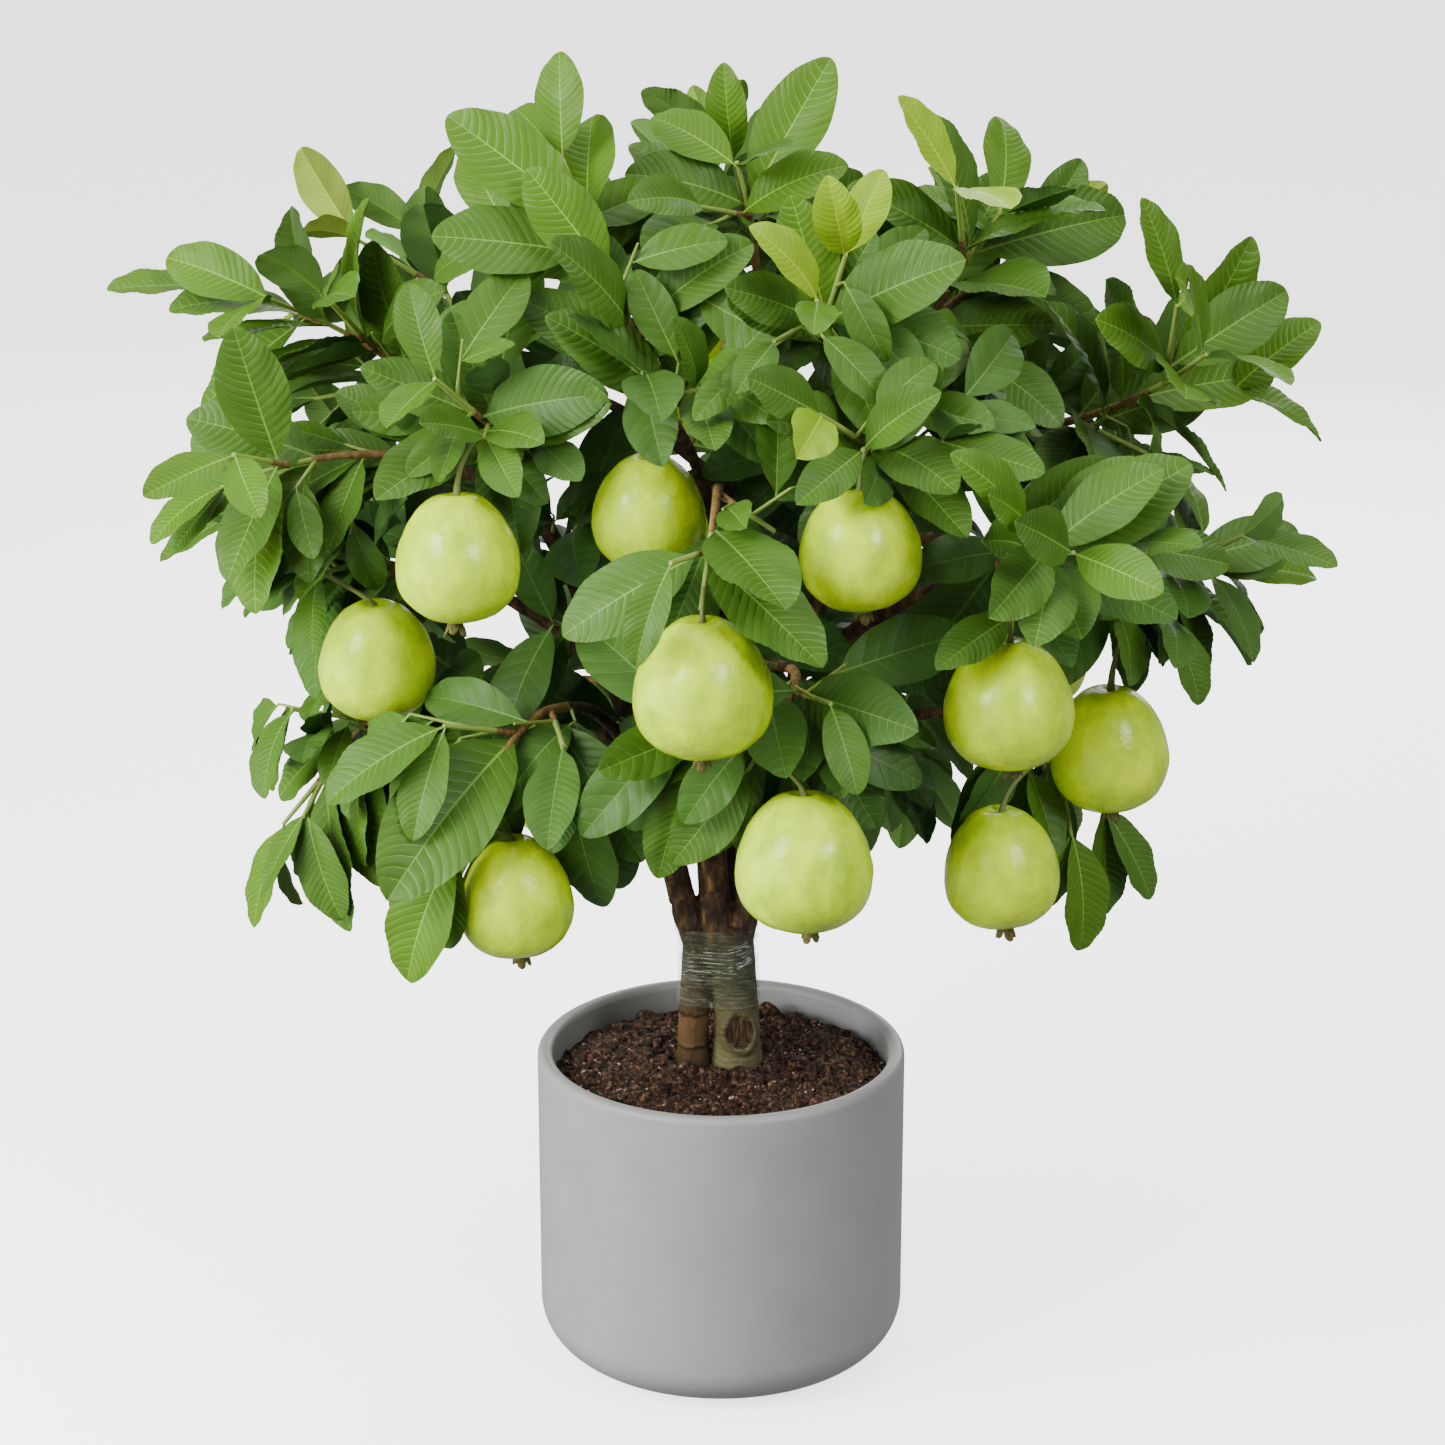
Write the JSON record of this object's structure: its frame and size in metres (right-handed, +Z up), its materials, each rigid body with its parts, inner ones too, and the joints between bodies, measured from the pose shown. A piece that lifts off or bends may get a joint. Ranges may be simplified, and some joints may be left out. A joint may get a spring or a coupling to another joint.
{
  "type": "potted guava tree",
  "caption": "Young twin-stemmed fruit tree with large round green fruit and broad ribbed leaves, in a round grey ceramic pot filled with soil.",
  "frame": {"origin": "centre of the pot's flat underside", "axes": "+Z up along the pot's axis, +X to the right and -Y to the front, as the picture sees the tree"},
  "size_m": [0.8675, 0.7732, 0.9973],
  "materials": {
    "pot": "matt grey glaze, slightly satin",
    "soil": "crumbly dark potting soil",
    "bark": "brown flaking bark over olive-green smooth bark",
    "film": "clear stretched film, wrinkled",
    "foliage": "satin green leaves with sunken veins"
  },
  "bodies": {
    "root": {"pot": "pot", "soil": "soil", "trunk": "bark", "grafting_film": "film", "limb_left": "bark", "limb_centre": "bark", "limb_right": "bark", "limb_back": "bark", "bough_crown_front_left": "bark", "bough_crown_front": "bark", "bough_front_centre": "bark", "bough_front_right": "bark", "bough_front_low": "bark", "bough_crown_right": "bark", "bough_right_middle": "bark", "bough_right_front": "bark", "bough_right_low": "bark", "bough_crown_left": "bark", "bough_left_upper": "bark", "bough_left_middle": "bark", "bough_left_low": "bark", "bough_low_front_left": "bark", "bough_back_upper_left": "bark", "bough_back_upper_right": "bark", "bough_back_centre": "bark", "bough_back_left": "bark", "bough_back_right": "bark", "bough_back_low_left": "bark", "bough_back_low_right": "bark", "mass_crown_front_left": "foliage", "mass_crown_top": "foliage", "mass_crown_upper_right": "foliage", "mass_crown_right": "foliage", "mass_right_middle": "foliage", "mass_right_front": "foliage", "mass_right_low": "foliage", "mass_crown_left": "foliage", "mass_left_upper": "foliage", "mass_left_middle": "foliage", "mass_left_low": "foliage", "mass_low_front_left": "foliage", "mass_front_left": "foliage", "mass_front_centre": "foliage", "mass_front_low": "foliage", "mass_front_right": "foliage", "mass_crown_front": "foliage", "mass_back_top": "foliage", "mass_back_upper_left": "foliage", "mass_back_upper_right": "foliage", "mass_back_centre": "foliage", "mass_back_left": "foliage", "mass_back_right": "foliage", "mass_back_low_left": "foliage", "mass_back_low_right": "foliage"}
  },
  "joints": []
}
